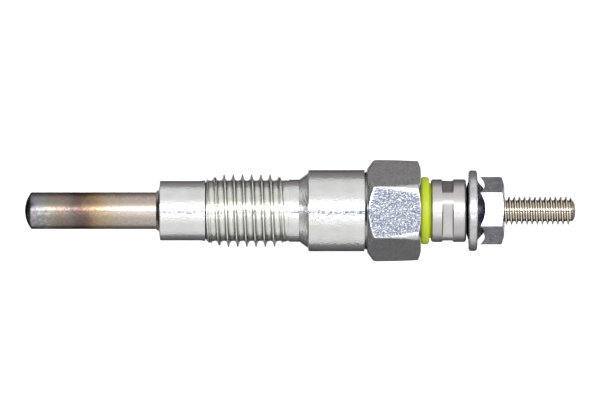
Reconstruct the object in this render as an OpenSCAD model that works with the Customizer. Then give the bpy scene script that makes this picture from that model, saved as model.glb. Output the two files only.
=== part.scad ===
// Diesel glow plug with a sheathed heater, an M10 x 1.25 thread and an M4 terminal stud.
// The axis lies along X, with the heater tip at -X, the terminal at +X and a flat of the hexagon down.
// The origin is on the axis, at the shoulder behind the sealing cone.

/* [Heater sheath] */
// Outer diameter of the closed heater tube
sheath_d = 5.0; // [4.4:0.1:5.6]
// Wall of the heater tube
sheath_wall = 0.65; // [0.4:0.05:0.8]
// Length of tube that stands out of the housing
sheath_out = 17.87; // [15:0.01:30]
// Length of tube held inside the housing
sheath_in = 16.7; // [13:0.1:20]
// Radius of the domed tip
tip_r = 4.1; // [3:0.1:8]

/* [Heater coils] */
// Wire diameter of the heating coil
heating_wire_d = 0.38; // [0.3:0.01:0.5]
// Turns of the heating coil
heating_turns = 10; // [6:1:11]
// Length of the heating coil
heating_len = 6.6; // [5.5:0.1:9]
// Wire diameter of the regulating coil
regulating_wire_d = 0.32; // [0.25:0.01:0.36]
// Turns of the regulating coil
regulating_turns = 15; // [10:1:18]
// Filling between the heating coil and the tube
coil_cover = 0.45; // [0.3:0.05:0.6]
// Length of the coil that sits on the front pin of the terminal rod
pin_grip = 2.2; // [1.5:0.1:3]

/* [Housing nose and thread] */
// Outer diameter of the rolled lip round the tube
lip_d = 5.7; // [5.65:0.05:6.4]
// Length of the rolled lip
lip_len = 0.34; // [0.2:0.02:0.6]
// Diameter of the nose
nose_d = 8.13; // [7:0.01:8.4]
// Length of the nose, with its blunt cone
nose_len = 6.38; // [4:0.01:12]
// Length of the blunt cone at the front of the nose
nose_cone_len = 0.16; // [0.1:0.02:1]
// Outer diameter of the thread
thread_d = 9.86; // [9.5:0.01:12]
// Pitch of the thread
thread_pitch = 1.25; // [1:0.25:1.5]
// Length of the thread, with its run-in and run-out
thread_len = 11.3; // [8:0.1:20]

/* [Sealing cone and shank] */
// Length of the relief between the thread and the cone
relief_len = 1.38; // [0.8:0.02:3]
// Length of the sealing cone
cone_len = 1.19; // [0.8:0.01:2]
// Small diameter of the sealing cone
cone_small_d = 8.4; // [7.6:0.1:8.5]
// Large diameter of the sealing cone
cone_large_d = 10.2; // [9.6:0.1:10.8]
// Chamfer at the edge of the shoulder
shoulder_edge = 0.11; // [0.05:0.01:0.3]
// Diameter of the shank
shank_d = 11.1; // [10.9:0.1:11.6]
// Length of the shank, from the shoulder to the hexagon
shank_len = 7.95; // [5:0.05:15]
// Width of the fine groove between the shank and the hexagon
groove_w = 0.33; // [0.1:0.01:0.5]
// Depth of that groove
groove_depth = 0.4; // [0.05:0.01:0.5]

/* [Hexagon] */
// Width across the flats
hex_af = 12; // [11.8:0.1:13]
// Length of the hexagon
hex_len = 7.3; // [6.5:0.05:12]
// Diameter over the corners at the front
hex_corner_d = 13.88; // [13.3:0.01:15]
// Diameter over the corners at the rear, where the pressing draws in
hex_rear_corner_d = 13.5; // [13:0.01:15]
// Diameter of the flat front face
hex_front_face_d = 11.46; // [11.2:0.02:11.8]
// Length of the front chamfer
hex_front_chamfer = 0.94; // [0.6:0.02:1.8]
// Length of the rear chamfer
hex_rear_chamfer = 0.36; // [0.2:0.02:0.8]
// Diameter of the flat rear face
hex_rear_face_d = 11.7; // [10.8:0.1:12]

/* [Bores of the housing] */
// Diameter of the bore behind the heater tube
rear_bore_d = 5.7; // [5.2:0.1:6.4]
// Diameter of the counterbore for the seal and the bush
seal_bore_d = 7.2; // [6.8:0.1:8]
// Depth of the counterbore
seal_bore_depth = 5.2; // [3.5:0.1:6]

/* [Terminal rod and seals] */
// Diameter of the terminal rod, over its thread
rod_d = 3.84; // [3.6:0.02:4.2]
// Pitch of the thread on the rod
rod_pitch = 0.7; // [0.5:0.05:0.8]
// Diameter of the rod where it runs through the sheath seal
rod_neck_d = 2.4; // [2:0.1:2.6]
// Length of rod neck between the front pin and the sheath seal
rod_neck_lead = 2; // [0.5:0.1:4]
// Length of rod neck that shows behind the tube
rod_neck_tail = 0.8; // [0.4:0.1:3]
// Free length of the stud behind the nut
stud_out = 9.72; // [6:0.02:20]
// Length of the chamfer at the end of the stud
stud_chamfer = 0.74; // [0.3:0.02:1]
// Diameter of the flat end of the stud
stud_end_d = 1.9; // [1:0.1:3]
// Height of the slight dome on the end of the stud
stud_dome = 0.08; // [0.04:0.02:0.3]
// Length of the sheath seal
sheath_seal_len = 2.4; // [1:0.1:4]

/* [Insulating bush] */
// Diameter of the flange
flange_d = 9.2; // [8.6:0.1:11]
// Thickness of the flange
flange_t = 1.16; // [0.8:0.02:2]
// Chamfer at the edges of the flange
flange_chamfer = 0.24; // [0.1:0.02:0.3]
// Diameter of the low step that meets the collar
bush_step_d = 7.5; // [7.3:0.1:8.4]
// Height of that step
bush_step_h = 0.24; // [0.1:0.02:0.6]

/* [Crimp collar] */
// Outer diameter of the collar
collar_d = 8.55; // [8:0.05:9.5]
// Length of the collar
collar_len = 4.76; // [4:0.02:7]
// Chamfer at its ends
collar_chamfer = 0.22; // [0.1:0.02:0.4]
// Number of crimp dents
dent_count = 4; // [2:1:5]
// Turn of the first dent from straight up, towards +Y
dent_turn = -18; // [-90:1:90]
// Depth of a dent at its middle
dent_depth = 0.73; // [0.3:0.01:0.9]
// Width of the floor of a dent
dent_floor_w = 1.25; // [0.8:0.05:1.4]
// Width of a dent at its mouth
dent_mouth_w = 1.6; // [1.4:0.02:2.4]
// Middle of the dents, from the front end of the collar
dent_at = 2.25; // [1.6:0.05:2.6]

/* [Conical washer] */
// Outer diameter of the washer
washer_d = 11; // [10.4:0.1:13]
// Thickness of the washer along the axis
washer_t = 1.2; // [0.8:0.05:1.6]
// Diameter of the raised middle, inside the flat rim
washer_boss_d = 8.2; // [8:0.1:9]
// Slope of the raised middle
washer_slope = 40; // [25:1:45]
// Chamfer at the edges of the rim
washer_chamfer = 0.22; // [0.1:0.02:0.3]
// Room between the collar and the rim of the washer
washer_room = 0.32; // [0.25:0.01:0.6]

/* [Terminal nut] */
// Width across the flats of the nut
nut_af = 8; // [7.4:0.1:8.2]
// Room between the rim of the washer and the corners of the nut
nut_lift = 0.33; // [0.1:0.01:0.6]
// Height of the nut at its corners
nut_h = 3.34; // [2.8:0.02:5]
// Turn of a nut flat from straight up, towards +Y
nut_turn = 4.6; // [-30:0.2:30]
// Slope of the dished underside
nut_dish_slope = 48; // [40:1:52]
// Slope of the chamfer at the free end
nut_chamfer_slope = 20; // [15:1:35]
// Diameter of the flat end face
nut_face_d = 7.2; // [6:0.1:7.4]
// Diameter of the neck that carries the washer
neck_d = 5.2; // [4.8:0.1:5.6]
// Diameter of the lip that is spread to keep the washer on
neck_lip_d = 7.8; // [6.8:0.1:7.9]
// Diameter of the flat front of that lip, which stands on the collar
neck_face_d = 6.4; // [5.6:0.1:6.7]
// Length of the sloped edge of that lip
neck_lip_edge = 0.2; // [0.1:0.02:0.26]
// Countersink at the free end of the thread
nut_countersink = 0.3; // [0.1:0.05:0.5]

/* [Clearances] */
// Radial room of pieces that are pressed or moulded together
press_gap = 0.01; // [0.005:0.005:0.03]
// Radial room of pieces that slide over each other
slide_gap = 0.06; // [0.03:0.01:0.15]

/* [Hidden] */

$fn = 96;
hex_sides = 6;
wire_sides = 6;
steps_per_turn = 12;
past = 1;

// Core of the thread, which the relief and the run-outs come down to
thread_core_d = thread_d - 1.0825 * thread_pitch;
thread_runout = (thread_d - thread_core_d) / 2;

// Diameter at which the threads of the rod and the nut meet
nut_fit_d = rod_d - 0.6495 * rod_pitch;

// Stations along the axis, from the shoulder to the heater tip
cone_end = -shoulder_edge;
relief_end = cone_end - cone_len;
thread_end = relief_end - relief_len;
thread_start = thread_end - thread_len;
nose_start = thread_start - nose_len;
lip_start = nose_start - lip_len;
tip = lip_start - sheath_out;
sheath_end = lip_start + sheath_in;

// Stations along the axis, from the shoulder to the terminal
hex_start = shank_len;
hex_end = hex_start + hex_len;
seal_bore_start = hex_end - seal_bore_depth;
o_ring_t = (seal_bore_d - rod_d) / 2 - 2 * press_gap;
flange_end = hex_end + flange_t;
collar_start = flange_end + bush_step_h;
collar_end = collar_start + collar_len;
washer_start = collar_end + washer_room;

// The washer is raised round its hole, and the nut holds it between its dish and its spread neck
washer_rim_end = washer_start + washer_t;
washer_hole_r = neck_d / 2 + slide_gap;
washer_rise = (washer_boss_d / 2 - washer_hole_r) * tan(washer_slope);
nut_corner_r = nut_af / 2 / cos(180 / hex_sides);
nut_start = washer_rim_end + nut_lift;
nut_end = nut_start + nut_h;
nut_dish_end = washer_rim_end + washer_rise + slide_gap;
nut_dish_r = nut_corner_r - (nut_dish_end - nut_start) / tan(nut_dish_slope);
neck_start = collar_end + slide_gap;
stud_end = nut_end + stud_out;

// Inside of the tube
sheath_inner_r = sheath_d / 2 - sheath_wall;
tip_inner_r = tip_r - sheath_wall;
tip_inside = tip + sheath_wall;
filling_end = sheath_end - sheath_seal_len;
pin_end = filling_end - rod_neck_lead;
pin_start = pin_end - pin_grip;

// Both coils follow one helix, and the first turn opens out from the weld at the tip
coil_r = sheath_inner_r - coil_cover - heating_wire_d / 2;
weld_x = tip_inside + press_gap;
weld_lead = 0.9;
heating_start = weld_x + weld_lead;
heating_end = heating_start + heating_len;
heating_pitch = heating_len / heating_turns;
regulating_end = pin_end - regulating_wire_d / 2 - press_gap;
regulating_pitch = (regulating_end - heating_end) / regulating_turns;
// The wire runs straight between its rings, so the pin clears the middle of a step
pin_r = (coil_r - regulating_wire_d / 2) * cos(180 / steps_per_turn) - press_gap;
turn_weld = 1;
turn_joint = turn_weld + heating_turns;
turn_end = turn_joint + regulating_turns;
turn_pin = turn_joint + (pin_start - heating_end) / regulating_pitch;
turn_step = 1 / steps_per_turn;

// Place along the axis after a number of turns
function coil_x(turn) =
    turn < turn_weld ? weld_x + weld_lead * turn :
    turn < turn_joint ? heating_start + (turn - turn_weld) * heating_pitch :
    heating_end + (turn - turn_joint) * regulating_pitch;

function ease(t) = t < 0 ? 0 : t > 1 ? 1 : t * t * (3 - 2 * t);

function coil_point(turn) =
    let (r = coil_r * ease(turn / turn_weld))
    [r * cos(360 * turn), r * sin(360 * turn), coil_x(turn)];

// The thinner wire starts one step behind the weld between the coils
function wire_d(turn) = turn < turn_joint + turn_step / 2 ? heating_wire_d : regulating_wire_d;

function unit(v) = v / norm(v);

// One ring of points round the wire, square to its run
function wire_ring(turn, room) =
    let (nudge = 0.01)
    let (run = unit(coil_point(turn + nudge) - coil_point(turn - nudge)))
    let (out = [cos(360 * turn), sin(360 * turn), 0])
    let (side = unit(cross(run, out)))
    let (up = cross(side, run))
    [for (k = [0 : wire_sides - 1])
        let (a = 360 * k / wire_sides)
        coil_point(turn) + (wire_d(turn) / 2 + room) * (cos(a) * up + sin(a) * side)];

// A stretch of the helix as a solid wire, with room round it where it is cut from the filling
module wire(from, to, room = 0) {
    steps = round((to - from) / turn_step);
    rings = [for (i = [0 : steps]) wire_ring(from + (to - from) * i / steps, room)];
    points = [for (ring = rings) each ring];
    front = [for (k = [0 : wire_sides - 1]) k];
    back = [for (k = [wire_sides - 1 : -1 : 0]) steps * wire_sides + k];
    walls = [for (i = [0 : steps - 1]) for (k = [0 : wire_sides - 1])
        let (a = i * wire_sides + k)
        let (b = i * wire_sides + (k + 1) % wire_sides)
        each [[a, a + wire_sides, b], [b, a + wire_sides, b + wire_sides]]];
    polyhedron(points, concat([front, back], walls));
}

// Every piece is drawn along Z and laid along X by this
module along_x() {
    rotate([0, 90, 0]) children();
}

// A turned shape from points of place along the axis and radius
module turned(outline) {
    rotate_extrude() polygon([for (p = outline) [p[1], p[0]]]);
}

module bore(from, to, r) {
    translate([0, 0, from]) cylinder(h = to - from, r = r);
}

// A hexagonal bar with one flat towards +Z of the part, then turned towards +Y
module hex_bar(from, to, af, turn = 0) {
    translate([0, 0, from])
        rotate(180 / hex_sides - turn)
            cylinder(h = to - from, r = af / 2 / cos(180 / hex_sides), $fn = hex_sides);
}

module housing_turned() {
    turned([
        [lip_start, 0],
        [lip_start, lip_d / 2],
        [nose_start, lip_d / 2],
        [nose_start + nose_cone_len, nose_d / 2],
        [thread_start, nose_d / 2],
        [thread_start, thread_core_d / 2],
        [thread_start + thread_runout, thread_d / 2],
        [thread_end - thread_runout, thread_d / 2],
        [thread_end, thread_core_d / 2],
        [relief_end, thread_core_d / 2],
        [relief_end, cone_small_d / 2],
        [cone_end, cone_large_d / 2],
        [0, shank_d / 2],
        [hex_start - groove_w, shank_d / 2],
        [hex_start - groove_w, shank_d / 2 - groove_depth],
        [hex_start + past, shank_d / 2 - groove_depth],
        [hex_start + past, 0]]);
}

// Round form that chamfers the hexagon and draws its corners in
module hex_envelope() {
    turned([
        [hex_start, 0],
        [hex_start, hex_front_face_d / 2],
        [hex_start + hex_front_chamfer, hex_corner_d / 2],
        [hex_end - hex_rear_chamfer, hex_rear_corner_d / 2],
        [hex_end, hex_rear_face_d / 2],
        [hex_end, 0]]);
}

module housing() {
    color("silver") along_x() difference() {
        union() {
            housing_turned();
            intersection() {
                hex_bar(hex_start, hex_end, hex_af);
                hex_envelope();
            }
        }
        bore(lip_start - past, hex_end, sheath_d / 2 + press_gap);
        bore(sheath_end, hex_end, rear_bore_d / 2);
        bore(seal_bore_start, hex_end + past, seal_bore_d / 2);
    }
}

// A round bar whose front end is a dome that touches the given place
module domed_bar(from, to, r, dome_r) {
    intersection() {
        bore(from, to, r);
        union() {
            translate([0, 0, from + dome_r]) sphere(r = dome_r);
            bore(from + dome_r, to, r);
        }
    }
}

module heater_sheath() {
    color("rosybrown") along_x() difference() {
        domed_bar(tip, sheath_end, sheath_d / 2, tip_r);
        domed_bar(tip_inside, sheath_end + past, sheath_inner_r, tip_inner_r);
    }
}

module heating_coil() {
    color("dimgray") along_x() wire(0, turn_joint);
}

module regulating_coil() {
    color("darkgoldenrod") along_x() wire(turn_joint, turn_end);
}

// The powder fills the tube round the coils, and leaves room where the coil grips the pin
module magnesia_filling() {
    tunnel_end = (ceil(turn_pin / turn_step) + 1) * turn_step;
    grip_r = coil_r + regulating_wire_d / 2 + slide_gap;
    color("ivory") along_x() difference() {
        domed_bar(tip_inside + press_gap, filling_end, sheath_inner_r - press_gap, tip_inner_r);
        wire(-turn_step, tunnel_end, press_gap);
        bore(pin_start, pin_end, grip_r);
        bore(pin_end, filling_end + past, rod_neck_d / 2 + press_gap);
    }
}

module sheath_seal() {
    color("darkred") along_x() difference() {
        bore(filling_end, sheath_end, sheath_inner_r - press_gap);
        bore(filling_end - past, sheath_end + past, rod_neck_d / 2 + press_gap);
    }
}

module terminal_rod() {
    rod_start = sheath_end + rod_neck_tail;
    color("tan") along_x() turned([
        [pin_start, 0],
        [pin_start, pin_r],
        [pin_end, pin_r],
        [pin_end, rod_neck_d / 2],
        [rod_start, rod_neck_d / 2],
        [rod_start, rod_d / 2],
        [collar_end, rod_d / 2],
        [collar_end, nut_fit_d / 2],
        [nut_end, nut_fit_d / 2],
        [nut_end, rod_d / 2],
        [stud_end - stud_chamfer, rod_d / 2],
        [stud_end - stud_dome, stud_end_d / 2],
        [stud_end, 0]]);
}

module o_ring() {
    ring_r = (seal_bore_d + rod_d) / 4;
    color("black") along_x()
        translate([0, 0, seal_bore_start + o_ring_t / 2])
            rotate_extrude() translate([ring_r, 0]) circle(d = o_ring_t);
}

module insulating_bush() {
    spigot_start = seal_bore_start + o_ring_t + slide_gap;
    spigot_r = seal_bore_d / 2 - slide_gap;
    color("greenyellow") along_x() difference() {
        turned([
            [spigot_start, 0],
            [spigot_start, spigot_r],
            [hex_end, spigot_r],
            [hex_end, flange_d / 2 - flange_chamfer],
            [hex_end + flange_chamfer, flange_d / 2],
            [flange_end - flange_chamfer, flange_d / 2],
            [flange_end, flange_d / 2 - flange_chamfer],
            [flange_end, bush_step_d / 2],
            [collar_start, bush_step_d / 2],
            [collar_start, 0]]);
        bore(spigot_start - past, collar_start + past, rod_d / 2 + slide_gap);
    }
}

// A flat-bottomed dent with sloped sides, cut from the side of the collar
module dent() {
    reach = collar_d / 2 - dent_depth;
    flare = (dent_mouth_w - dent_floor_w) / 2 / dent_depth;
    top_w = dent_floor_w + 2 * flare * (dent_depth + past);
    translate([0, 0, collar_start + dent_at])
        rotate([90, 0, 0])
            linear_extrude(height = collar_d, center = true)
                polygon([
                    [reach, -dent_floor_w / 2],
                    [reach + dent_depth + past, -top_w / 2],
                    [reach + dent_depth + past, top_w / 2],
                    [reach, dent_floor_w / 2]]);
}

module crimp_collar() {
    color("lightgray") along_x() difference() {
        turned([
            [collar_start, 0],
            [collar_start, collar_d / 2 - collar_chamfer],
            [collar_start + collar_chamfer, collar_d / 2],
            [collar_end - collar_chamfer, collar_d / 2],
            [collar_end, collar_d / 2 - collar_chamfer],
            [collar_end, 0]]);
        bore(collar_start - past, collar_end + past, rod_d / 2 + press_gap);
        for (i = [0 : dent_count - 1])
            rotate(180 - dent_turn - 360 * i / dent_count) dent();
    }
}

// A disc with a flat rim, whose middle is raised to its hole
module conical_washer() {
    rim_r = washer_d / 2;
    color("gainsboro") along_x() turned([
        [washer_start + washer_rise, washer_hole_r],
        [washer_start, washer_boss_d / 2],
        [washer_start, rim_r - washer_chamfer],
        [washer_start + washer_chamfer, rim_r],
        [washer_rim_end - washer_chamfer, rim_r],
        [washer_rim_end, rim_r - washer_chamfer],
        [washer_rim_end, washer_boss_d / 2],
        [washer_rim_end + washer_rise, washer_hole_r]]);
}

// Back of the spread lip, which lies along the hollow side of the washer
function lip_back(r) = washer_start + (washer_boss_d / 2 - r) * tan(washer_slope) - slide_gap;

module terminal_nut() {
    chamfer_len = (nut_corner_r - nut_face_d / 2) * tan(nut_chamfer_slope);
    nut_bore_r = nut_fit_d / 2 + press_gap;
    color("lightsteelblue") along_x() difference() {
        union() {
            intersection() {
                hex_bar(nut_start, nut_end, nut_af, nut_turn);
                turned([
                    [nut_dish_end, 0],
                    [nut_dish_end, nut_dish_r],
                    [nut_start, nut_corner_r],
                    [nut_end - chamfer_len, nut_corner_r],
                    [nut_end, nut_face_d / 2],
                    [nut_end, 0]]);
            }
            turned([
                [neck_start, 0],
                [neck_start, neck_face_d / 2],
                [neck_start + neck_lip_edge, neck_lip_d / 2],
                [lip_back(neck_lip_d / 2), neck_lip_d / 2],
                [lip_back(neck_d / 2), neck_d / 2],
                [nut_dish_end + past, neck_d / 2],
                [nut_dish_end + past, 0]]);
        }
        bore(neck_start - past, nut_end + past, nut_bore_r);
        turned([
            [nut_end - nut_countersink, 0],
            [nut_end - nut_countersink, nut_bore_r],
            [nut_end + past, nut_bore_r + nut_countersink + past],
            [nut_end + past, 0]]);
    }
}

housing();
heater_sheath();
heating_coil();
regulating_coil();
magnesia_filling();
sheath_seal();
terminal_rod();
o_ring();
insulating_bush();
crimp_collar();
conical_washer();
terminal_nut();
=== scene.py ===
import math

import bmesh
import bpy
import numpy as np
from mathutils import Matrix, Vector


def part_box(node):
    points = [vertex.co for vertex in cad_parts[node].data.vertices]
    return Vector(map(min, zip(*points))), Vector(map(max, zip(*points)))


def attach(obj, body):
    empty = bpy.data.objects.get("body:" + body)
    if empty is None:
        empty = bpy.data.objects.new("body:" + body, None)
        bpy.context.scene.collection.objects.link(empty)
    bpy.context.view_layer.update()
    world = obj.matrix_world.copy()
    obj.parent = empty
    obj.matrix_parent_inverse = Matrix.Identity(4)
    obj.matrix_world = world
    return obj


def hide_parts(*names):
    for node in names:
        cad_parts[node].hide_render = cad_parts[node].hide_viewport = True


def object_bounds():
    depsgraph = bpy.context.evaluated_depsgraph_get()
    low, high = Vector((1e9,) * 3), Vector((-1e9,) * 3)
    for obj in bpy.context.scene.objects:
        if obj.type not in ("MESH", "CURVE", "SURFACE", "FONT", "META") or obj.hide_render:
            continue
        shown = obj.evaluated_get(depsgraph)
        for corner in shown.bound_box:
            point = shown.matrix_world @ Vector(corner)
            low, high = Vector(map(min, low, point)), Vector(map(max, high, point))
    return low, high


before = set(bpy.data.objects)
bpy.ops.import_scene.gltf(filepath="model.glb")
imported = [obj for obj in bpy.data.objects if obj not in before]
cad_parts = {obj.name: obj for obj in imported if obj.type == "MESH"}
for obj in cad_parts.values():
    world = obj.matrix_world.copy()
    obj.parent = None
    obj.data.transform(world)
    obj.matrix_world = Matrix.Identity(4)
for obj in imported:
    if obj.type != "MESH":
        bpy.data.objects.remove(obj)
cadLow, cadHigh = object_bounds()
scene = bpy.context.scene
scene.view_settings.view_transform = "Standard"
mm = 0.001    # sizes in the dictionaries are millimetres
halfSide = math.pi / 6    # angle from the middle of a hexagon's flat to its corner
print("frame loaded:", len(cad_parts), "nodes")


# Shaping: every turned piece is a fan of profile paths, one for each angle round the axis
def evenAngles(count):
    return np.arange(count) * 2 * math.pi / count


def hexAngles(perFlat, flatAt):
    # closer together towards the corners, where the surface turns
    steps = np.arange(perFlat) * 2 / perFlat - 1
    fromFlat = halfSide * np.sin(steps * math.pi / 2)
    around = np.concatenate([flatAt + 2 * halfSide * side + fromFlat for side in range(6)])
    return around, np.tile(fromFlat, 6)


def hexReach(fromFlat, halfWidth, corner):
    # distance from the axis to a hexagon with rounded corners
    flat = halfWidth / np.cos(fromFlat)
    centre = (halfWidth - corner) / math.cos(halfSide)
    aside = halfSide - np.abs(fromFlat)
    arc = centre * np.cos(aside) + np.sqrt(np.maximum(corner ** 2 - (centre * np.sin(aside)) ** 2, 0))
    flatEnds = math.atan((halfWidth - corner) * math.tan(halfSide) / halfWidth)
    return np.where(np.abs(fromFlat) > flatEnds, arc, flat)


def softPath(count, corners, steps=4, limit=0.45):
    # corners are (place, radius, softness); place and radius may differ from angle to angle
    # easing takes the softness from both sides of a corner, up to the limit's share of the shorter one
    line = np.array([[np.broadcast_to(value, count) for value in corner[:2]] for corner in corners])
    line = line.transpose(2, 0, 1).astype(float)
    rows = []
    for index, corner in enumerate(corners):
        here = line[:, index]
        soft = corner[2] if 0 < index < len(corners) - 1 else 0
        if not soft:
            rows.append(here)
            continue
        back = line[:, index - 1] - here
        ahead = line[:, index + 1] - here
        backLength = np.maximum(np.linalg.norm(back, axis=1), 1e-9)[:, None]
        aheadLength = np.maximum(np.linalg.norm(ahead, axis=1), 1e-9)[:, None]
        cut = np.minimum(soft, limit * np.minimum(backLength, aheadLength))
        start = here + back / backLength * cut
        end = here + ahead / aheadLength * cut
        for step in range(steps + 1):
            t = step / steps
            rows.append((1 - t) ** 2 * start + 2 * t * (1 - t) * here + t * t * end)
    return np.stack(rows, axis=1)


def threadRows(angles, thread, room):
    # rows follow the helix, so each crest is a clean edge; room says how much of the crest is formed
    pitch, crestAt = thread["pitch"], thread["crestAt"]
    turns = angles / (2 * math.pi)
    half = np.array(thread["samples"])
    fractions = np.concatenate([half, 1 - half[-2:0:-1]])
    spare = 2    # turns past both ends, pressed flat there
    first = math.floor((thread["start"] - crestAt) / pitch - turns[0]) - spare
    last = math.ceil((thread["end"] - crestAt) / pitch - turns[0]) + spare
    steps = (np.arange(first, last)[:, None] + fractions).ravel()
    place = np.clip(crestAt + pitch * (steps + turns[:, None]), thread["start"], thread["end"])
    phase = (place - crestAt) / pitch - turns[:, None]
    away = np.abs(phase - np.round(phase))
    crest, power = thread["crestWidth"] / 2, thread["flankCurve"]
    form = np.clip((0.5 - away) / (0.5 - crest), 0, 1) ** power
    formed = np.clip(room(place), 0, 1)
    lipAt = np.maximum(0.5 - (0.5 - crest) * formed ** (1 / power), 1e-6)
    seam = thread["lipSeam"] * (1 - formed) * (1 - away / lipAt)
    height = np.where(form < formed, form, formed - np.clip(seam, 0, formed))
    radius = thread["root"] + (thread["crest"] - thread["root"]) * height
    return np.stack([place, radius], axis=2), len(fractions)


def loftPiece(name, angles, paths, closed, thread=None, crease=38):
    # thread is (first row, end row, rows in a pitch) and joins the last path one pitch further on
    count, rows = paths.shape[:2]
    place, radius = paths[..., 0], paths[..., 1]
    around = angles[:, None]
    points = np.stack([place, radius * np.cos(around), radius * np.sin(around)], axis=2) * mm
    across = np.arange(rows)
    if thread:
        begin, end, shift = thread
        inside = (across >= begin) & (across < end)
        across = np.where(inside, np.minimum(across + shift, end - 1), across)
    faces = []
    for column in range(count):
        nextColumn = (column + 1) % count
        rowMap = across if nextColumn == 0 else np.arange(rows)
        for row in range(rows if closed else rows - 1):
            after = (row + 1) % rows
            faces.append((column * rows + row, column * rows + after,
                          nextColumn * rows + int(rowMap[after]), nextColumn * rows + int(rowMap[row])))
    mesh = bpy.data.meshes.new(name)
    mesh.from_pydata(points.reshape(-1, 3).tolist(), [], faces)
    weld, sliver = 2e-7, 1e-8    # metres
    solid = bmesh.new()
    solid.from_mesh(mesh)
    bmesh.ops.remove_doubles(solid, verts=solid.verts, dist=weld)
    bmesh.ops.dissolve_degenerate(solid, edges=solid.edges, dist=sliver)
    bmesh.ops.recalc_face_normals(solid, faces=solid.faces)
    solid.to_mesh(mesh)
    openEdges = sum(1 for edge in solid.edges if not edge.is_manifold)
    solid.free()
    mesh.shade_smooth()
    mesh.set_sharp_from_angle(angle=math.radians(crease))
    piece = bpy.data.objects.new(name, mesh)
    scene.collection.objects.link(piece)
    print("  ", name, len(mesh.polygons), "faces,", openEdges, "open edges")
    return piece


def dress(piece, finish, node):
    piece.data.materials.append(finish)
    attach(piece, "root")
    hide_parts(node)


# Finishes: small helpers, then one function for each kind of finish
cloudRange = (0.35, 0.7)    # noise below and above these gives none and all of a tint
grainRange = (0.3, 0.7)


def add(tree, kind, inputs=None, **settings):
    made = tree.nodes.new(kind)
    for key, value in settings.items():
        setattr(made, key, value)
    for socket, value in (inputs or {}).items():
        if isinstance(value, bpy.types.NodeSocket):
            tree.links.new(value, made.inputs[socket])
        else:
            made.inputs[socket].default_value = value
    return made


def newFinish(name, metallic, **sockets):
    finish = bpy.data.materials.new(name)
    finish.use_nodes = True
    tree = finish.node_tree
    shader = tree.nodes["Principled BSDF"]
    shader.inputs["Metallic"].default_value = metallic
    for socket, value in sockets.items():
        shader.inputs[socket.replace("_", " ")].default_value = value
    return finish, tree, shader


def wear(tree, shader, colour, roughness, normal):
    tree.links.new(colour, shader.inputs["Base Color"])
    tree.links.new(roughness, shader.inputs["Roughness"])
    tree.links.new(normal, shader.inputs["Normal"])


def noise(tree, vector, size, detail=3.0, stretch=None):
    # size is the size of a blot in millimetres
    if stretch:
        vector = add(tree, "ShaderNodeMapping", {"Vector": vector, "Scale": stretch}).outputs[0]
    made = add(tree, "ShaderNodeTexNoise", {"Vector": vector, "Scale": 1 / (size * mm), "Detail": detail})
    return made.outputs["Fac"]


def spread(tree, value, low, high, toLow=0.0, toHigh=1.0):
    made = add(tree, "ShaderNodeMapRange", {"Value": value, "From Min": low, "From Max": high,
                                            "To Min": toLow, "To Max": toHigh})
    return made.outputs["Result"]


def calc(tree, operation, first, second=0.0):
    return add(tree, "ShaderNodeMath", {0: first, 1: second}, operation=operation).outputs[0]


def between(tree, value, low, high, edge):
    # 1 from low to high with soft ends, in millimetres
    rises = spread(tree, value, (low - edge) * mm, low * mm)
    falls = spread(tree, value, high * mm, (high + edge) * mm, 1.0, 0.0)
    return calc(tree, "MULTIPLY", rises, falls)


def blend(tree, amount, first, second, mode="MIX"):
    made = add(tree, "ShaderNodeMix", {0: amount, 6: first, 7: second}, data_type="RGBA", blend_type=mode)
    return made.outputs[2]


def bump(tree, height, depth, normal=None):
    # depth is in millimetres
    inputs = {"Height": height, "Distance": depth * mm, "Strength": 1.0}
    if normal:
        inputs["Normal"] = normal
    return add(tree, "ShaderNodeBump", inputs).outputs["Normal"]


def objectPlace(tree):
    place = add(tree, "ShaderNodeTexCoord").outputs["Object"]
    return place, add(tree, "ShaderNodeSeparateXYZ", {"Vector": place}).outputs


def fromCrest(tree, axes, thread):
    # share of the pitch from the nearest crest, 0 to 0.5
    steps = calc(tree, "SUBTRACT", axes["X"], thread["crestAt"] * mm)
    steps = calc(tree, "DIVIDE", steps, thread["pitch"] * mm)
    turns = calc(tree, "DIVIDE", calc(tree, "ARCTAN2", axes["Z"], axes["Y"]), 2 * math.pi)
    return calc(tree, "PINGPONG", calc(tree, "SUBTRACT", steps, turns), 0.5)


def flankBand(tree, axes, thread, look, span):
    # 1 on the flanks of a thread, 0 on its crest and in its root
    away = fromCrest(tree, axes, thread)
    start, full, fading, gone = look["flankBand"]
    band = calc(tree, "MULTIPLY", spread(tree, away, start, full), spread(tree, away, fading, gone, 1.0, 0.0))
    return calc(tree, "MULTIPLY", band, between(tree, axes["X"], *span, look["flankEdge"]))


def paintShade(tree, shader, amount, colour):
    # multiplies a painted shade over the colour that the finish has so far
    clean = shader.inputs["Base Color"].links[0].from_socket
    tree.links.new(blend(tree, amount, clean, colour, "MULTIPLY"), shader.inputs["Base Color"])


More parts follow.
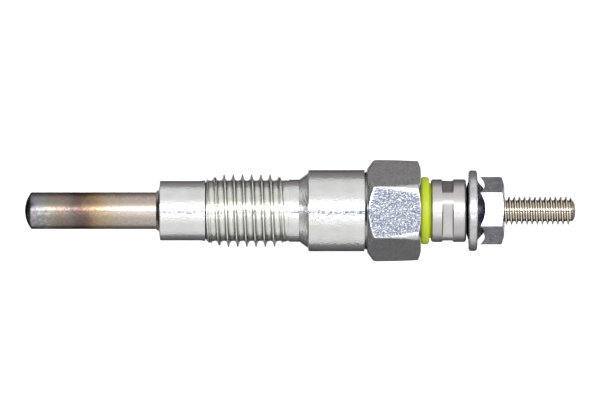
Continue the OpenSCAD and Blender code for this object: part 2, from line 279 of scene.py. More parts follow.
def zincPlate(look, thread):
    finish, tree, shader = newFinish("zincPlate", 1.0, Specular_Tint=look["edgeTint"])
    place, axes = objectPlace(tree)
    edge = look["spanEdge"]
    clouds = noise(tree, place, look["cloudSize"])
    grain = noise(tree, place, look["grainSize"])
    rings = noise(tree, place, look["ringSize"], 2.0, look["ringStretch"])
    streaks = noise(tree, place, look["streakSize"], 2.0, look["streakStretch"])
    onHex = between(tree, axes["X"], *look["hexSpan"], edge)
    colour = blend(tree, spread(tree, clouds, *cloudRange), look["base"], look["cloud"])
    streaked = calc(tree, "MULTIPLY", spread(tree, streaks, *look["streakRange"]), onHex)
    colour = blend(tree, streaked, colour, look["streak"], "MULTIPLY")
    specked = calc(tree, "MULTIPLY", spread(tree, grain, *look["speckRange"]), onHex)
    colour = blend(tree, specked, colour, look["speck"], "MULTIPLY")
    # a slight passivation tint with painted light that lifts the shade on the flanks of the thread; painted
    # shade in the recess at the tube and in the groove, only near the middle in Y
    flank = flankBand(tree, axes, thread, look, look["threadSpan"])
    colour = blend(tree, flank, colour, look["flank"], "MULTIPLY")
    # painted shade in the recess at the tube's seat and in the groove, near the middle in Y only
    sideEdge, endEdge = look["paintedShadeEdges"]
    for span, half, tone in look["paintedShades"]:
        spot = between(tree, axes["Y"], -half, half, sideEdge)
        spot = calc(tree, "MULTIPLY", spot, between(tree, axes["X"], *span, endEdge))
        colour = blend(tree, spot, colour, tone, "MULTIPLY")
    roughness = spread(tree, calc(tree, "ADD", clouds, grain), *look["roughRange"], *look["roughness"])
    dull = calc(tree, "MULTIPLY", between(tree, axes["X"], *look["dullSpan"], look["dullEdge"]), look["dull"])
    dull = calc(tree, "ADD", dull, calc(tree, "MULTIPLY", flank, look["flankDull"]))
    bright = calc(tree, "MULTIPLY", between(tree, axes["X"], *look["brightSpan"], edge), look["bright"])
    roughness = calc(tree, "SUBTRACT", calc(tree, "ADD", roughness, dull), bright)
    coarse = 0.0
    for span, share in look["grainSpans"]:
        here = calc(tree, "MULTIPLY", between(tree, axes["X"], *span, edge), share)
        coarse = calc(tree, "ADD", coarse, here)
    coarse = calc(tree, "MULTIPLY", grain, coarse)
    peel = noise(tree, place, look["peelSize"], 1.0)
    peel = calc(tree, "MULTIPLY", peel, between(tree, axes["X"], *look["peelSpan"], edge))
    # turning rings, fine grain, the plating's peel and coarse grain, each on top of the last
    normal = bump(tree, rings, look["ringDepth"])
    normal = bump(tree, grain, look["grainDepth"], normal)
    normal = bump(tree, peel, look["peelDepth"], normal)
    normal = bump(tree, coarse, look["coarseDepth"], normal)
    wear(tree, shader, colour, roughness, normal)
    return finish


def heatTint(look):
    finish, tree, shader = newFinish("heatTintedTube", 1.0, Specular_Tint=look["edgeTint"])
    place, axes = objectPlace(tree)
    reach = look["wander"] * mm
    wander = spread(tree, noise(tree, place, look["wanderSize"]), *grainRange, -reach, reach)
    speck = noise(tree, place, look["speckSize"])
    tints = look["tints"]
    first, last = tints[0][0], tints[-1][0]
    along = spread(tree, calc(tree, "ADD", axes["X"], wander), first * mm, last * mm)
    ramp = add(tree, "ShaderNodeValToRGB", {"Fac": along})
    stops = ramp.color_ramp.elements
    for spot, colour in tints[1:-1]:
        stops.new((spot - first) / (last - first)).color = colour
    stops[0].color = tints[0][1]
    stops[len(stops) - 1].color = tints[-1][1]
    specked = spread(tree, speck, *cloudRange, 0.0, look["speckShare"])
    colour = blend(tree, specked, ramp.outputs["Color"], look["speck"], "MULTIPLY")
    # rubbed bright on one side near the tip
    sideFrom, sideTo = look["rubSide"]
    rubbed = spread(tree, noise(tree, place, look["rubSize"], 4.0), *look["rubRange"])
    rubbed = calc(tree, "MULTIPLY", rubbed, between(tree, axes["X"], *look["rubSpan"], look["rubEdge"]))
    rubbed = calc(tree, "MULTIPLY", rubbed, spread(tree, axes["Y"], sideFrom * mm, sideTo * mm))
    colour = blend(tree, rubbed, colour, look["rub"])
    roughness = spread(tree, speck, *look["roughRange"], *look["roughness"])
    wear(tree, shader, colour, roughness, bump(tree, speck, look["grainDepth"]))
    return finish


def plainMetal(look):
    finish, tree, shader = newFinish(look["name"], 1.0, Specular_Tint=look["edgeTint"])
    place, axes = objectPlace(tree)
    clouds = noise(tree, place, look["cloudSize"])
    grain = noise(tree, place, look["grainSize"], 3.0, look.get("stretch"))
    colour = blend(tree, spread(tree, clouds, *cloudRange), look["base"], look["cloud"])
    roughness = spread(tree, grain, *grainRange, *look["roughness"])
    wear(tree, shader, colour, roughness, bump(tree, grain, look["grainDepth"]))
    return finish, tree, shader, axes


def plainMatter(look):
    finish, tree, shader = newFinish(look["name"], 0.0)
    place = objectPlace(tree)[0]
    grain = noise(tree, place, look["grainSize"])
    colour = blend(tree, spread(tree, grain, *grainRange), look["base"], look["cloud"])
    roughness = spread(tree, grain, *grainRange, *look["roughness"])
    wear(tree, shader, colour, roughness, bump(tree, grain, look["grainDepth"]))
    return finish


# Housing: nose, thread, sealing cone, shank and hexagon in one plated piece
housing = {
    "lipFront": 2.6, "lipRadius": 2.85, "lipLength": 0.34,
    "noseRadius": 4.065, "noseLength": 6.38, "noseCone": 0.16,
    "flareRadius": 4.16, "flareLength": 0.6, "flareEdge": 0.06, "notch": 0.3, "notchLength": 0.12,
    "threadLength": 11.3, "coreRadius": 4.2535,
    "reliefLength": 1.38, "coneLength": 1.19, "coneSmall": 4.2, "coneLarge": 5.1, "shoulderEdge": 0.11,
    "shankRadius": 5.55, "shankLength": 7.95, "grooveWidth": 0.33, "grooveDepth": 0.4, "grooveSlope": 0.27,
    "hexHalf": 6.0, "hexCorner": 0.15, "frontFace": 5.73, "frontChamfer": 0.94, "frontCorner": 6.94,
    "rearChamfer": 0.36, "rearCorner": 6.75, "rearFace": 5.85, "crownBand": 0.95, "crownDepth": 0.171,
    "tubeBore": 2.51, "rearBore": 2.85, "sealBore": 3.6, "sealBoreDepth": 5.2,
    "runIn": 2.4, "runInHeight": 0.3, "runOut": 2.0, "perFlat": 32, "flatRows": 8,
    "soft": {
        "lip": 0.04, "noseRoot": 0.15, "noseEdge": 0.14, "flare": 0.2, "flareEdge": 0.03, "cone": 0.05,
        "shoulder": 0.09, "shankEnd": 0.08, "groove": 0.03, "frontFace": 0.06, "frontEdge": 0.3,
        "rearEdge": 0.12, "rearFace": 0.05,
    },
    "thread": {
        "pitch": 1.25, "crest": 4.93, "root": 4.12, "crestAt": -7.732,
        "crestWidth": 0.12, "flankCurve": 3.5, "lipSeam": 0.4,
        "samples": (0, 0.045, 0.06, 0.08, 0.105, 0.135, 0.17, 0.23, 0.33, 0.5),
    },
    "finish": {
        "base": (0.79, 0.79, 0.785, 1), "cloud": (0.73, 0.735, 0.7, 1), "edgeTint": (0.2, 0.2, 0.2, 1),
        "roughness": (0.11, 0.18), "roughRange": (0.7, 1.3), "cloudSize": 1.6,
        "ringSize": 0.09, "ringStretch": (1, 0.02, 0.02), "ringDepth": 0.003,
        "grainSize": 0.21, "grainDepth": 0.002, "coarseDepth": 0.019,
        "peelSize": 0.27, "peelDepth": 0.036, "peelSpan": (-20.2, 7.6),
        "hexSpan": (8.3, 15.1), "spanEdge": 0.1,
        "streak": (0.97, 0.965, 0.955, 1), "streakSize": 0.12, "streakStretch": (0.05, 1, 1),
        "streakRange": (0.4, 0.65), "speck": (0.74, 0.74, 0.77, 1), "speckRange": (0.42, 0.6),
        "brightSpan": (0.1, 15.1), "bright": 0.05, "dullSpan": (-20.2, -2.4), "dullEdge": 0.2, "dull": 0.03,
        # place along the axis and share of the coarse grain
        "grainSpans": [((-2.6, 7.6), 0.3), ((8.3, 15.1), 1.25)],
        # shares of the pitch from the crest where the band starts, is full, fades and is gone
        "flankBand": (0.06, 0.1, 0.16, 0.28), "threadSpan": (-13.6, -2.9), "flankEdge": 0.3,
        # flank: slight passivation tint with painted light lifting the shade on the thread's flanks
        "flank": (1.15, 1.15, 1.02, 1), "flankDull": 0.08,
        # painted shade: place along the axis, half width across it, and colour
        "paintedShades": [((-20.8, -20.4), 1.2, (0.1, 0.095, 0.09, 1)), ((7.66, 7.93), 1.0, (0.14, 0.14, 0.15, 1))],
        "paintedShadeEdges": (0.9, 0.04),
    },
}


def makeHousing(form):
    around, fromFlat = hexAngles(form["perFlat"], math.pi / 2)
    soft = form["soft"]
    count = len(around)
    low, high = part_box("housing")
    lipStart, hexEnd = low.x / mm, high.x / mm
    noseStart = lipStart + form["lipLength"]
    threadStart = noseStart + form["noseLength"]
    threadEnd = threadStart + form["threadLength"]
    reliefEnd = threadEnd + form["reliefLength"]
    coneEnd = reliefEnd + form["coneLength"]
    shoulder = coneEnd + form["shoulderEdge"]
    hexStart = shoulder + form["shankLength"]
    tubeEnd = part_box("heater_sheath")[1].x / mm
    front = softPath(count, [
        (lipStart, form["tubeBore"], 0),
        (lipStart, form["lipFront"], soft["lip"]),
        (noseStart, form["lipRadius"], soft["noseRoot"]),
        (noseStart + form["noseCone"], form["noseRadius"], soft["noseEdge"]),
        (threadStart - form["flareLength"], form["noseRadius"], soft["flare"]),
        (threadStart - form["flareEdge"], form["flareRadius"], soft["flareEdge"]),
        (threadStart, form["noseRadius"] - form["notch"], 0),
    ])
    thread = dict(form["thread"], start=threadStart + form["notchLength"], end=threadEnd)
    runIn, runOut, height = form["runIn"], form["runOut"], form["runInHeight"]

    def room(place):
        rises = height + (1 - height) * (place - thread["start"]) / runIn
        return np.minimum(rises, (threadEnd - place) / runOut)

    helix, perPitch = threadRows(around, thread, room)
    reach = hexReach(fromFlat, form["hexHalf"], form["hexCorner"])
    aside = np.abs(form["hexHalf"] * np.tan(fromFlat))
    edge = form["hexHalf"] * math.tan(halfSide)
    rise = (form["frontCorner"] - form["frontFace"]) / form["frontChamfer"]
    flatFrom = hexStart + (reach - form["frontFace"]) / rise

    def crowned(share):
        over = np.maximum(aside - (edge - share * form["crownBand"]), 0)
        return reach - form["crownDepth"] * over ** 2 / np.cos(fromFlat)

    fall = form["rearChamfer"] / (form["rearCorner"] - form["rearFace"])
    flatTo = hexEnd - (crowned(1) - form["rearFace"]) * fall
    shares = np.arange(1, form["flatRows"]) / form["flatRows"]
    groove = hexStart - form["grooveWidth"]
    grooveRadius = form["shankRadius"] - form["grooveDepth"]
    rear = softPath(count, [
        (threadEnd, form["coreRadius"], 0),
        (reliefEnd, form["coreRadius"], soft["cone"]),
        (reliefEnd, form["coneSmall"], soft["cone"]),
        (coneEnd, form["coneLarge"], soft["cone"]),
        (shoulder, form["shankRadius"], soft["shoulder"]),
        (groove, form["shankRadius"], soft["shankEnd"]),
        (groove, grooveRadius, soft["groove"]),
        (hexStart, grooveRadius + form["grooveSlope"], soft["groove"]),
        (hexStart, form["frontFace"], soft["frontFace"]),
        (flatFrom, reach, soft["frontEdge"]),
        *[(flatFrom + (flatTo - flatFrom) * share, crowned(share), 0) for share in shares],
        (flatTo, crowned(1), soft["rearEdge"]),
        (hexEnd, form["rearFace"], soft["rearFace"]),
        (hexEnd, form["sealBore"], soft["rearFace"]),
        (hexEnd - form["sealBoreDepth"], form["sealBore"], 0),
        (hexEnd - form["sealBoreDepth"], form["rearBore"], 0),
        (tubeEnd, form["rearBore"], 0),
        (tubeEnd, form["tubeBore"], 0),
    ])
    paths = np.concatenate([front, helix, rear], axis=1)
    begin = front.shape[1]
    piece = loftPiece("platedHousing", around, paths, True, (begin, begin + helix.shape[1], perPitch))
    dress(piece, zincPlate(form["finish"], form["thread"]), "housing")


# Heater tube: closed by a shallow dome with a soft edge
tube = {
    "radius": 2.5, "wall": 0.65, "domeRadius": 4.1, "domeRows": 10, "angles": 128,
    "soft": {"dome": 0.34, "rear": 0.08, "bore": 0.05},
    "finish": {
        "edgeTint": (0.15, 0.15, 0.15, 1), "roughness": (0.26, 0.38), "roughRange": (0.35, 0.65),
        "grainDepth": 0.005, "speck": (0.55, 0.55, 0.55, 1), "speckSize": 0.3, "speckShare": 0.5,
        "rub": (0.42, 0.42, 0.405, 1), "rubSize": 0.45, "rubRange": (0.42, 0.68),
        "rubSpan": (-37.4, -35.6), "rubEdge": 1.2, "rubSide": (0.8, -0.4),
        "wander": 0.7, "wanderSize": 2.2,
        # place along the axis and colour of the heat tint
        "tints": [
            (-38.6, (0.05, 0.04, 0.04, 1)), (-38.0, (0.11, 0.095, 0.10, 1)), (-37.3, (0.28, 0.26, 0.29, 1)),
            (-36.4, (0.29, 0.285, 0.27, 1)), (-34.9, (0.31, 0.26, 0.22, 1)), (-33.4, (0.29, 0.23, 0.19, 1)),
            (-32.2, (0.22, 0.18, 0.16, 1)), (-31.5, (0.17, 0.13, 0.125, 1)), (-30.6, (0.20, 0.13, 0.105, 1)),
            (-29.4, (0.35, 0.24, 0.15, 1)), (-28.2, (0.46, 0.35, 0.23, 1)), (-26.6, (0.50, 0.41, 0.33, 1)),
            (-24.0, (0.54, 0.465, 0.405, 1)), (-20.0, (0.55, 0.485, 0.43, 1)),
        ],
    },
}


def makeTube(form):
    low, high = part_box("heater_sheath")
    tip, end = low.x / mm, high.x / mm
    inside = form["radius"] - form["wall"]

    def dome(at, radius, reach):
        tilts = np.linspace(0, math.asin(reach / radius), form["domeRows"])
        return [(at + radius * (1 - math.cos(tilt)), radius * math.sin(tilt), 0) for tilt in tilts]

    soft = form["soft"]
    outer = dome(tip, form["domeRadius"], form["radius"])
    inner = dome(tip + form["wall"], form["domeRadius"] - form["wall"], inside)
    outer[-1] = (outer[-1][0], outer[-1][1], soft["dome"])
    around = evenAngles(form["angles"])
    path = softPath(len(around), [
        *outer, (end, form["radius"], soft["rear"]), (end, inside, soft["bore"]), *inner[::-1],
    ])
    piece = loftPiece("heaterTube", around, path, False)
    dress(piece, heatTint(form["finish"]), "heater_sheath")


# Terminal rod: pin for the coil, neck, rod and the threaded stud
rod = {
    "pinRadius": 1.01, "pinLength": 2.2, "neckRadius": 1.2, "neckEnd": -3.2, "radius": 1.92,
    "fitRadius": 1.692, "chamferLength": 0.74, "endRadius": 0.95, "domeHeight": 0.08, "angles": 96,
    "gapBefore": 0.02, "gapAfter": 0.01,    # between the thread and what it joins
    "soft": {"pin": 0.1, "neckStart": 0.05, "neckEnd": 0.1, "rodStart": 0.15, "rodEnd": 0.1, "fit": 0.05,
             "tip": 0.25},
    "thread": {
        "pitch": 0.7, "crest": 1.9, "root": 1.42, "crestAt": 31.48,
        "crestWidth": 0.2, "flankCurve": 2.6, "lipSeam": 0.0,
        "samples": (0, 0.08, 0.1, 0.14, 0.19, 0.25, 0.33, 0.41, 0.5),
    },
    "finish": {
        "name": "warmNickel", "base": (0.80, 0.73, 0.64, 1), "cloud": (0.72, 0.65, 0.56, 1),
        "edgeTint": (0.3, 0.3, 0.3, 1), "roughness": (0.12, 0.2), "cloudSize": 1.0, "grainSize": 0.2,
        "grainDepth": 0.003,
        # flank: painted shade on the thread's flanks
        "flank": (0.4, 0.34, 0.29, 1), "flankBand": (0.1, 0.15, 0.24, 0.34), "flankEdge": 0.1,
    },
}


def makeRod(form):
    low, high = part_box("terminal_rod")
    pinStart, studEnd = low.x / mm, high.x / mm
    pinEnd = pinStart + form["pinLength"]
    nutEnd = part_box("terminal_nut")[1].x / mm
    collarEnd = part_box("crimp_collar")[1].x / mm
    around = evenAngles(form["angles"])
    count = len(around)
    chamferStart = studEnd - form["chamferLength"]
    slope = (form["radius"] - form["endRadius"]) / (form["chamferLength"] - form["domeHeight"])
    depth = form["thread"]["crest"] - form["thread"]["root"]
    soft = form["soft"]
    front = softPath(count, [
        (pinStart, 0, 0),
        (pinStart, form["pinRadius"], soft["pin"]),
        (pinEnd, form["pinRadius"], soft["pin"]),
        (pinEnd, form["neckRadius"], soft["neckStart"]),
        (form["neckEnd"], form["neckRadius"], soft["neckEnd"]),
        (form["neckEnd"], form["radius"], soft["rodStart"]),
        (collarEnd, form["radius"], soft["rodEnd"]),
        (collarEnd, form["fitRadius"], soft["fit"]),
        (nutEnd - form["gapBefore"], form["fitRadius"], 0),
    ])
    thread = dict(form["thread"], start=nutEnd, end=chamferStart + depth / slope)

    def room(place):
        return 1 - (place - chamferStart) * slope / depth

    helix, perPitch = threadRows(around, thread, room)
    rear = softPath(count, [
        (thread["end"] + form["gapAfter"], thread["root"], 0),
        (studEnd - form["domeHeight"], form["endRadius"], soft["tip"]),
        (studEnd, 0, 0),
    ])
    paths = np.concatenate([front, helix, rear], axis=1)
    begin = front.shape[1]
    piece = loftPiece("terminalRod", around, paths, False, (begin, begin + helix.shape[1], perPitch))
    look = form["finish"]
    finish, tree, shader, axes = plainMetal(look)
    # painted shade on the flanks of the stud's thread
    flank = flankBand(tree, axes, thread, look, (nutEnd, thread["end"]))
    paintShade(tree, shader, flank, look["flank"])
    dress(piece, finish, "terminal_rod")


# Insulating bush: spigot in the hexagon and the flange that shows
bush = {
    "spigot": 3.54, "bore": 1.98, "flange": 4.6, "chamfer": 0.24, "step": 3.75, "stepHeight": 0.24,
    "angles": 128, "soft": {"spigot": 0.1, "face": 0.08, "flange": 0.1, "step": 0.05},
    "finish": {
        "name": "chartreusePlastic", "base": (0.41, 0.5, 0.008, 1), "cloud": (0.385, 0.475, 0.008, 1),
        "roughness": (0.35, 0.5), "grainSize": 0.6, "grainDepth": 0.003,
    },
}


def makeBush(form):
    low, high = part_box("insulating_bush")
    start, end = low.x / mm, high.x / mm
    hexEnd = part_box("housing")[1].x / mm
    flangeEnd = end - form["stepHeight"]
    edge = form["flange"] - form["chamfer"]
    soft = form["soft"]
    around = evenAngles(form["angles"])
    path = softPath(len(around), [
        (start, form["bore"], 0),
        (start, form["spigot"], soft["spigot"]),
        (hexEnd, form["spigot"], 0),
        (hexEnd, edge, soft["face"]),
        (hexEnd + form["chamfer"], form["flange"], soft["flange"]),
        (flangeEnd - form["chamfer"], form["flange"], soft["flange"]),
        (flangeEnd, edge, soft["face"]),
        (flangeEnd, form["step"], soft["step"]),
        (end, form["step"], soft["step"]),
        (end, form["bore"], 0),
    ])
    piece = loftPiece("insulatingBush", around, path, True)
    dress(piece, plainMatter(form["finish"]), "insulating_bush")


# Crimp collar: a ring pressed on to the rod by dents with flat floors
collar = {
    "radius": 4.275, "bore": 1.93, "chamfer": 0.22, "dents": 4, "dentTurn": 18, "dentDepth": 0.73,
    "floorWidth": 1.25, "mouthWidth": 1.6, "dentAt": 2.25, "dentEase": 0.16,
    "angles": 720, "floorRows": 5, "wallRows": 14, "rowMargin": 0.02, "soft": 0.06,
    "finish": {
        "name": "turnedCollar", "base": (0.60, 0.575, 0.57, 1), "cloud": (0.55, 0.53, 0.525, 1),
        "edgeTint": (0.15, 0.15, 0.15, 1), "roughness": (0.3, 0.33), "cloudSize": 1.2, "grainSize": 0.08,
        "grainDepth": 0.0006, "stretch": (1, 0.02, 0.02),
    },
}


def makeCollar(form):
    low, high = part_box("crimp_collar")
    start, end = low.x / mm, high.x / mm
    around = evenAngles(form["angles"])
    radius, chamfer = form["radius"], form["chamfer"]
    spacing = 2 * math.pi / form["dents"]
    firstDent = math.pi / 2 + math.radians(form["dentTurn"])
    fromDent = (around - firstDent + spacing / 2) % spacing - spacing / 2
    floor = (radius - form["dentDepth"]) / np.cos(fromDent)
    sunk = radius - floor
    sunk = (sunk + np.sqrt(sunk ** 2 + form["dentEase"] ** 2)) / 2
    floorHalf, mouthHalf = form["floorWidth"] / 2, form["mouthWidth"] / 2
    middle = start + form["dentAt"]
    margin, soft = form["rowMargin"], form["soft"]

    def surface(place):
        aside = abs(place - middle)
        wall = min(max((mouthHalf - aside) / (mouthHalf - floorHalf), 0), 1)
        return radius - sunk * wall * wall * (3 - 2 * wall)

    wallRows = np.linspace(floorHalf - margin, mouthHalf + margin, form["wallRows"])
    floorRows = np.linspace(-0.5, 0.5, form["floorRows"]) * floorHalf
    places = middle + np.concatenate([-wallRows[::-1], floorRows, wallRows])
    path = softPath(len(around), [
        (start, form["bore"], 0),
        (start, radius - chamfer, soft),
        (start + chamfer, radius, soft),
        *[(place, surface(place), 0) for place in places],
        (end - chamfer, radius, soft),
        (end, radius - chamfer, soft),
        (end, form["bore"], 0),
    ])
    piece = loftPiece("crimpCollar", around, path, True)
    dress(piece, plainMetal(form["finish"])[0], "crimp_collar")


# Washer: a flat rim and a raised conical middle
washer = {
    "rim": 5.5, "hole": 2.66, "boss": 4.1, "thickness": 1.2, "slope": 40, "chamfer": 0.22, "angles": 160,
    "bossSoft": 0.1, "rimSoft": 0.14,
    "finish": {
        "name": "brightWasher", "base": (0.64, 0.65, 0.66, 1), "cloud": (0.5, 0.51, 0.52, 1),
        "edgeTint": (0.3, 0.3, 0.3, 1), "roughness": (0.2, 0.34), "cloudSize": 0.8, "grainSize": 0.25,
        "grainDepth": 0.012,
    },
}


def makeWasher(form):
    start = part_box("conical_washer")[0].x / mm
    rear = start + form["thickness"]
    rise = (form["boss"] - form["hole"]) * math.tan(math.radians(form["slope"]))
    rim, chamfer = form["rim"], form["chamfer"]
    bossSoft, rimSoft = form["bossSoft"], form["rimSoft"]
    around = evenAngles(form["angles"])
    path = softPath(len(around), [
        (start + rise, form["hole"], 0),
        (start, form["boss"], bossSoft),
        (start, rim - chamfer, rimSoft),
        (start + chamfer, rim, rimSoft),
        (rear - chamfer, rim, rimSoft),
        (rear, rim - chamfer, rimSoft),
        (rear, form["boss"], bossSoft),
        (rear + rise, form["hole"], 0),
    ])
    piece = loftPiece("dishedWasher", around, path, True)
    dress(piece, plainMetal(form["finish"])[0], "conical_washer")


# Terminal nut: dished underside, chamfered end, and a neck spread behind the washer
nut = {
    "half": 4.0, "corner": 0.12, "turn": 4.6, "height": 3.34, "dishSlope": 48, "chamferSlope": 20,
    "face": 3.6, "neck": 2.6, "lip": 3.9, "lipFace": 3.2, "lipEdge": 0.2, "gap": 0.06,
    "bore": 1.702, "countersink": 0.3, "perFlat": 24,
    "soft": {"lip": 0.05, "dish": 0.05, "flatStart": 0.08, "flatEnd": 0.1, "face": 0.08, "bore": 0.05},
    "finish": {
        "name": "blueZincNut", "base": (0.62, 0.65, 0.70, 1), "cloud": (0.5, 0.46, 0.49, 1),
        "edgeTint": (0.3, 0.3, 0.3, 1), "roughness": (0.16, 0.28), "cloudSize": 1.0, "grainSize": 0.3,
        "grainDepth": 0.01,
        # the painted shade fades out over these distances from the dish, and across the axis
        "under": (0.55, 0.51, 0.63, 1), "underFade": (-0.08, -0.02), "shadeHalf": 2.0, "shadeEdge": 0.6,
        "neckShade": (0.08, 0.07, 0.1, 1), "neckFade": (0.2, 0.1),
    },
}


def makeNut(form):
    low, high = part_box("terminal_nut")
    neckStart, end = low.x / mm, high.x / mm
    start = end - form["height"]
    around, fromFlat = hexAngles(form["perFlat"], math.pi / 2 - math.radians(form["turn"]))
    reach = hexReach(fromFlat, form["half"], form["corner"])
    cornerRadius = form["half"] / math.cos(halfSide)
    dish = math.tan(math.radians(form["dishSlope"]))
    flatFrom = start + (cornerRadius - reach) * dish
    flatTo = end - (reach - form["face"]) * math.tan(math.radians(form["chamferSlope"]))
    washerStart, washerTop = [corner.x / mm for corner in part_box("conical_washer")]
    dishEnd = washerTop + form["gap"]
    dishRadius = cornerRadius - (dishEnd - start) / dish
    lip, neck, soft = form["lip"], form["neck"], form["soft"]

    def lipBack(radius):
        rise = (washer["boss"] - radius) * math.tan(math.radians(washer["slope"]))
        return washerStart + rise - form["gap"]

    path = softPath(len(around), [
        (neckStart, form["bore"], 0),
        (neckStart, form["lipFace"], soft["lip"]),
        (neckStart + form["lipEdge"], lip, soft["lip"]),
        (lipBack(lip), lip, soft["lip"]),
        (lipBack(neck), neck, 0),
        (dishEnd, neck, 0),
        (dishEnd, dishRadius, soft["dish"]),
        (flatFrom, reach, soft["flatStart"]),
        (flatTo, reach, soft["flatEnd"]),
        (end, form["face"], soft["face"]),
        (end, form["bore"] + form["countersink"], soft["bore"]),
        (end - form["countersink"], form["bore"], 0),
    ])
    piece = loftPiece("terminalNut", around, path, True)
    look = form["finish"]
    finish, tree, shader, axes = plainMetal(look)
    # painted shade with a lilac tint under the head, near the middle in Y only, and dark painted shade on the
    # spread neck
    squares = [calc(tree, "MULTIPLY", axes[axis], axes[axis]) for axis in "YZ"]
    radius = calc(tree, "SQRT", calc(tree, "ADD", *squares))
    dishAt = calc(tree, "MULTIPLY", calc(tree, "SUBTRACT", cornerRadius * mm, radius), dish)
    under = calc(tree, "SUBTRACT", calc(tree, "ADD", dishAt, start * mm), axes["X"])
    under = spread(tree, under, *[fade * mm for fade in look["underFade"]])
    inFront = between(tree, axes["Y"], -look["shadeHalf"], look["shadeHalf"], look["shadeEdge"])
    paintShade(tree, shader, calc(tree, "MULTIPLY", under, inFront), look["under"])
    # dark painted shade on the neck inside the slot between collar and washer
    onNeck = spread(tree, axes["X"], *[(washerStart + fade) * mm for fade in look["neckFade"]])
    paintShade(tree, shader, onNeck, look["neckShade"])
    dress(piece, finish, "terminal_nut")


print("making pieces")
makeHousing(housing)
makeTube(tube)
makeRod(rod)
makeBush(bush)
makeCollar(collar)
makeWasher(washer)
makeNut(nut)

# Inner pieces keep their own forms
wire = {
    "name": "resistanceWire", "base": (0.40, 0.38, 0.35, 1), "cloud": (0.34, 0.31, 0.28, 1),
    "edgeTint": (0.3, 0.3, 0.3, 1), "roughness": (0.3, 0.45), "cloudSize": 0.5, "grainSize": 0.1,
    "grainDepth": 0.002,
}
powder = {
    "name": "packedMagnesia", "base": (0.86, 0.84, 0.78, 1), "cloud": (0.78, 0.76, 0.70, 1),
    "roughness": (0.85, 0.95), "grainSize": 0.15, "grainDepth": 0.01,
}
rubber = {
    "name": "blackRubber", "base": (0.03, 0.03, 0.03, 1), "cloud": (0.05, 0.05, 0.05, 1),
    "roughness": (0.55, 0.7), "grainSize": 0.2, "grainDepth": 0.004,
}
innerFinishes = [
    (plainMetal(wire)[0], ("heating_coil", "regulating_coil")),
    (plainMatter(powder), ("magnesia_filling",)),
    (plainMatter(rubber), ("sheath_seal", "o_ring")),
]
for finish, nodeNames in innerFinishes:
    for nodeName in nodeNames:
        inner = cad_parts[nodeName]
        inner.data.materials.clear()
        inner.data.materials.append(finish)
print("inner pieces finished")

# Studio: a clear sheet over a pale floor, in a soft tent whose light depends on the angle across the axis
studio = {
    "floorSize": 1000, "floorDrop": 120, "floorColour": (0.78, 0.78, 0.78, 1), "floorRoughness": 0.9,
    # grey past the pale strip, below and above the plug in the picture
    "farColours": ((0.107, 0.107, 0.111, 1), (0.165, 0.156, 0.158, 1)), "farEdge": 1,
    "paleReach": (140, 35.5), "paleEdge": 7, "glassIor": 1.45,
    # angle across the axis from straight up, and level or colour
    "tent": [
        (-180, 0.3), (-110, 0.3), (-104, 0.86), (-60, 0.86), (-42, 0.92), (-30, 1.2), (-24, 1.5),
        (-22.5, (0.1, 0.12, 0.2)), (-19, (0.1, 0.12, 0.2)), (-17.5, 3.2), (-11, 3.2),
        (-9, (0.16, 0.225, 0.44)), (2, (0.16, 0.225, 0.44)), (5, 1.8), (8, 7.0), (18, 7.0), (22, 1.6),
        (32, 1.15), (42, 0.95), (60, 0.86), (102, 0.86), (107, 0.3), (179.9, 0.3),
    ],
    "brightest": 7.0,
    # the tent is open at the heater's end
    "openEnd": (-0.995, -0.8), "openLevel": 0.12,
}


def makeSheet(name, height):
    size = studio["floorSize"] * mm / 2
    mesh = bpy.data.meshes.new(name)
    corners = [(-size, -size, height), (size, -size, height), (size, size, height), (-size, size, height)]
    mesh.from_pydata(corners, [], [(0, 1, 2, 3)])
    sheet = bpy.data.objects.new(name, mesh)
    scene.collection.objects.link(sheet)
    return sheet


def makeGlass():
    # the plug lies on this sheet, above the pale floor
    finish = bpy.data.materials.new("clearSheet")
    finish.use_nodes = True
    tree = finish.node_tree
    tree.nodes.remove(tree.nodes["Principled BSDF"])
    clear = add(tree, "ShaderNodeBsdfTransparent")
    gloss = add(tree, "ShaderNodeBsdfGlossy", {"Roughness": 0.0})
    mirror = add(tree, "ShaderNodeFresnel", {"IOR": studio["glassIor"]}).outputs[0]
    above = calc(tree, "SUBTRACT", 1.0, add(tree, "ShaderNodeNewGeometry").outputs["Backfacing"])
    share = calc(tree, "MULTIPLY", mirror, above)
    both = add(tree, "ShaderNodeMixShader", {0: share, 1: clear.outputs[0], 2: gloss.outputs[0]})
    tree.links.new(both.outputs[0], tree.nodes["Material Output"].inputs["Surface"])
    makeSheet("glassSheet", cadLow.z).data.materials.append(finish)


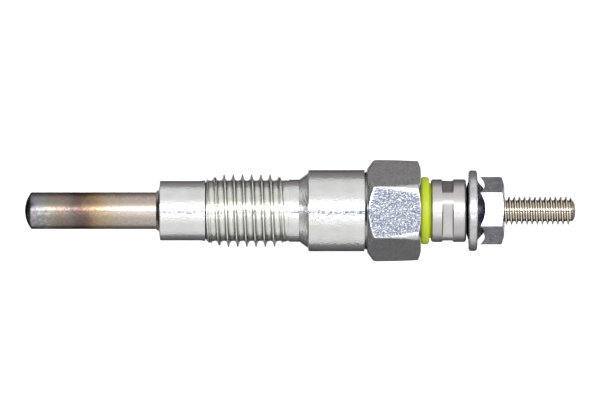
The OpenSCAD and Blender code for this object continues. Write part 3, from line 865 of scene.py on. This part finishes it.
def makeFloor():
    floor = makeSheet("floor", cadLow.z - studio["floorDrop"] * mm)
    rough = studio["floorRoughness"]
    finish, tree, shader = newFinish("paleFloor", 0.0, Roughness=rough, Specular_IOR_Level=0.0)
    axes = objectPlace(tree)[1]
    edge, farEdge = studio["paleEdge"], studio["farEdge"] * mm
    fades = []
    for axis, reach in zip("XY", studio["paleReach"]):
        aside = calc(tree, "ABSOLUTE", axes[axis])
        fades.append(spread(tree, aside, reach * mm, (reach + edge) * mm))
    far = blend(tree, spread(tree, axes["Y"], -farEdge, farEdge), *studio["farColours"])
    colour = blend(tree, calc(tree, "MAXIMUM", *fades), studio["floorColour"], far)
    tree.links.new(colour, shader.inputs["Base Color"])
    floor.data.materials.append(finish)


def makeTent():
    world = bpy.data.worlds.new("softTent")
    scene.world = world
    world.use_nodes = True
    tree = world.node_tree
    direction = add(tree, "ShaderNodeTexCoord").outputs["Generated"]
    axes = add(tree, "ShaderNodeSeparateXYZ", {"Vector": direction}).outputs
    across = calc(tree, "ARCTAN2", axes["Y"], axes["Z"])
    ramp = add(tree, "ShaderNodeValToRGB", {"Fac": spread(tree, across, -math.pi, math.pi)})
    stops = ramp.color_ramp.elements
    brightest = studio["brightest"]
    for index, (angle, level) in enumerate(studio["tent"]):
        spot = (angle + 180) / 360
        stop = stops[index] if index < 2 else stops.new(spot)
        stop.position = spot
        light = level if isinstance(level, tuple) else (level,) * 3
        stop.color = (*[share / brightest for share in light], 1)
    background = tree.nodes["Background"]
    tree.links.new(ramp.outputs["Color"], background.inputs["Color"])
    strength = spread(tree, axes["X"], *studio["openEnd"], studio["openLevel"] * brightest, brightest)
    tree.links.new(strength, background.inputs["Strength"])


# Camera: a long lens, almost straight down on the plug
view = {
    "width": 81.6, "distance": 1200, "tilt": 2.1, "centreX": -1.16, "centreUp": 1.45, "sensor": 36,
    "clip": (0.01, 10),    # metres
}


def makeCamera():
    data = bpy.data.cameras.new("camera")
    camera = bpy.data.objects.new("camera", data)
    scene.collection.objects.link(camera)
    tilt = math.radians(view["tilt"])
    back = Vector((0, math.sin(tilt), math.cos(tilt)))
    up = Vector((0, math.cos(tilt), -math.sin(tilt)))
    centre = Vector((view["centreX"], 0, 0)) + up * view["centreUp"]
    camera.location = (centre + back * view["distance"]) * mm
    camera.rotation_euler = (-tilt, 0, 0)
    data.sensor_width = view["sensor"]
    data.lens = view["sensor"] * view["distance"] / view["width"]
    data.clip_start, data.clip_end = view["clip"]
    scene.camera = camera


makeFloor()
makeGlass()
makeTent()
makeCamera()
print("studio ready")
